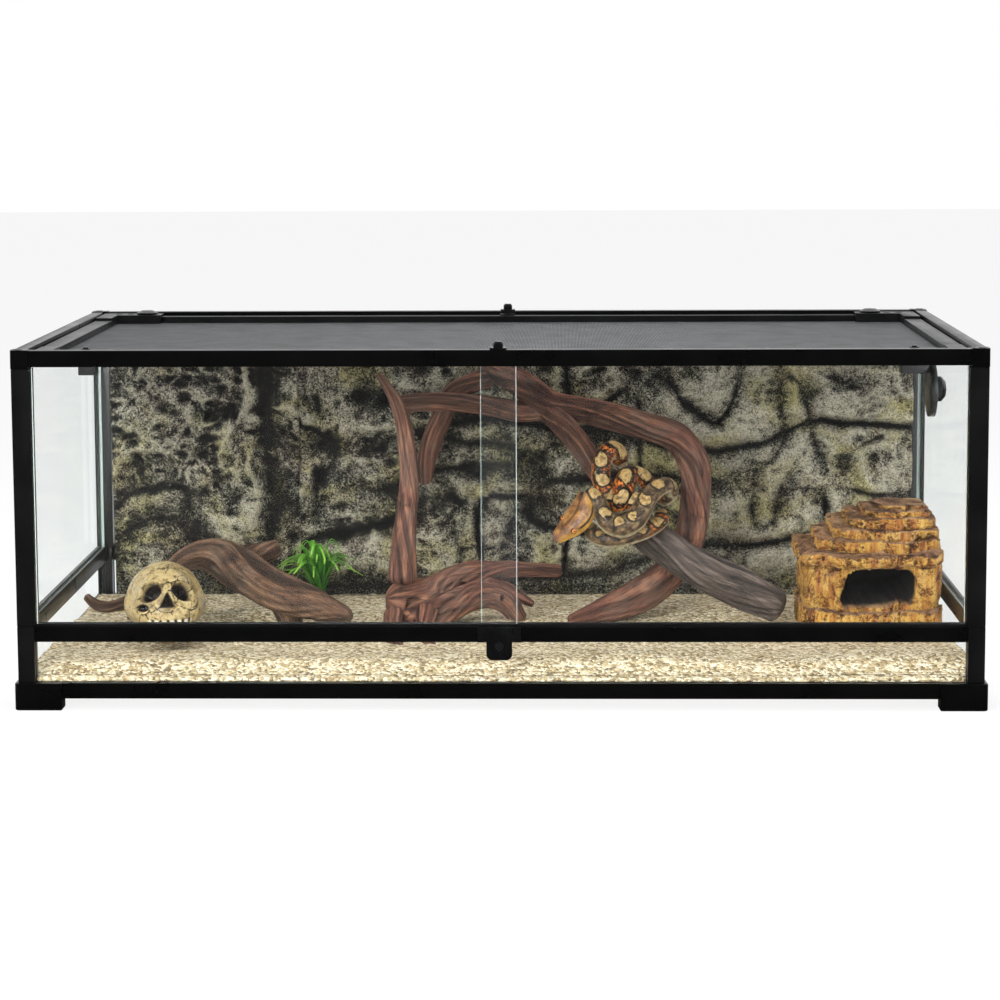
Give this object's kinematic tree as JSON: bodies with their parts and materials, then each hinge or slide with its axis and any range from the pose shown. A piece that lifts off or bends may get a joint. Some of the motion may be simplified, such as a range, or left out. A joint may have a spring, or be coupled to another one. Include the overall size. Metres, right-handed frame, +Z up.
{
  "type": "reptile terrarium",
  "caption": "Framed glass reptile terrarium with sliding front doors, screen lid, side port, rock background, sand, driftwood, hides and a coiled snake.",
  "frame": {"origin": "centre of the footprint, on the surface that the feet stand on", "axes": "+X to the right seen from the front, +Y to the back, +Z up"},
  "size_m": [1.228, 0.619, 0.467],
  "materials": {
    "frame": "satin black",
    "trim": "satin black",
    "glass": "clear",
    "screen": "woven wire",
    "steel": "machined",
    "rock_panel": "textured, rock colours",
    "sand": "loose grain",
    "wood": "weathered driftwood",
    "grey_wood": "weathered driftwood",
    "bone": "aged bone colour",
    "cave_rock": "layered, matt",
    "leaf": "satin green",
    "snake_skin": "scaled"
  },
  "bodies": {
    "tank": {"foot_front_left": "frame", "foot_front_right": "frame", "foot_rear_left": "frame", "foot_rear_right": "frame", "base_rail_front": "frame", "base_rail_rear": "frame", "base_rail_left": "frame", "base_rail_right": "frame", "floor_pane": "glass", "lower_corner_posts": "frame", "lower_front_pane": "glass", "lower_panes": "glass", "mid_rail_front": "frame", "mid_rail_rear": "frame", "mid_rail_left": "frame", "mid_rail_right": "frame", "upper_post_front_left": "frame", "upper_post_front_right": "frame", "upper_post_rear_left": "frame", "upper_post_rear_right": "frame", "side_pane_left": "glass", "side_pane_right": "glass", "rear_pane": "glass", "top_rail_front": "frame", "top_rail_rear": "frame", "top_rail_left": "frame", "top_rail_right": "frame", "top_corner_caps": "frame", "lower_door_track": "frame", "upper_door_track": "frame", "lock_bracket": "trim", "side_port_flange": "trim", "side_top_brackets": "frame", "background_left": "rock_panel", "background_right": "rock_panel", "sand_bed": "sand", "driftwood_root": "wood", "driftwood_log": "wood", "driftwood_arch": "wood", "driftwood_limb": "grey_wood", "skull_hide": "bone", "cave_hide": "cave_rock", "grass_tuft": "leaf", "snake": "snake_skin"},
    "door_left": {"door_left": "glass"},
    "door_right": {"door_right": "glass"},
    "lock": {"lock_barrel": "steel"},
    "port_cap": {"side_port_cap": "trim"},
    "lid": {"lid_long_bars": "frame", "lid_side_bars": "frame", "lid_corners": "frame", "lid_mesh": "screen", "lid_clip_plates": "trim"},
    "latch_left": {"latch_slider_left": "trim"},
    "latch_right": {"latch_slider_right": "trim"},
    "thumb_front": {"thumb_screw_front": "trim"},
    "thumb_rear": {"thumb_screw_rear": "trim"},
    "shutter_left": {"cable_shutter_left": "trim"},
    "shutter_right": {"cable_shutter_right": "trim"}
  },
  "joints": [
    {"name": "door_left_slide", "type": "slide", "parent": "tank", "child": "door_left", "axis": [1, 0, 0], "range_m": [0, 0.555]},
    {"name": "door_right_slide", "type": "slide", "parent": "tank", "child": "door_right", "axis": [-1, 0, 0], "range_m": [0, 0.555]},
    {"name": "lid_lift", "type": "slide", "parent": "tank", "child": "lid", "axis": [0, 0, 1], "range_m": [0, 0.2]},
    {"name": "lock_turn", "type": "hinge", "parent": "tank", "child": "lock", "pos_m": [0, -0.305, 0.083], "axis": [0, 1, 0], "range_deg": [0, 90]},
    {"name": "port_cap_turn", "type": "hinge", "parent": "tank", "child": "port_cap", "pos_m": [0.604, 0.112, 0.361], "axis": [1, 0, 0], "range_deg": [0, 90]},
    {"name": "latch_left_slide", "type": "slide", "parent": "lid", "child": "latch_left", "axis": [1, 0, 0], "range_m": [0, 0.012]},
    {"name": "latch_right_slide", "type": "slide", "parent": "lid", "child": "latch_right", "axis": [-1, 0, 0], "range_m": [0, 0.012]},
    {"name": "thumb_front_turn", "type": "hinge", "parent": "lid", "child": "thumb_front", "pos_m": [0, -0.297, 0.46], "axis": [0, 0, 1], "continuous": true},
    {"name": "thumb_rear_turn", "type": "hinge", "parent": "lid", "child": "thumb_rear", "pos_m": [0, 0.297, 0.46], "axis": [0, 0, 1], "continuous": true},
    {"name": "shutter_left_turn", "type": "hinge", "parent": "lid", "child": "shutter_left", "pos_m": [-0.526, 0.2685, 0.45], "axis": [0, 0, -1], "range_deg": [0, 180]},
    {"name": "shutter_right_turn", "type": "hinge", "parent": "lid", "child": "shutter_right", "pos_m": [0.526, 0.2685, 0.45], "axis": [0, 0, 1], "range_deg": [0, 180]}
  ]
}
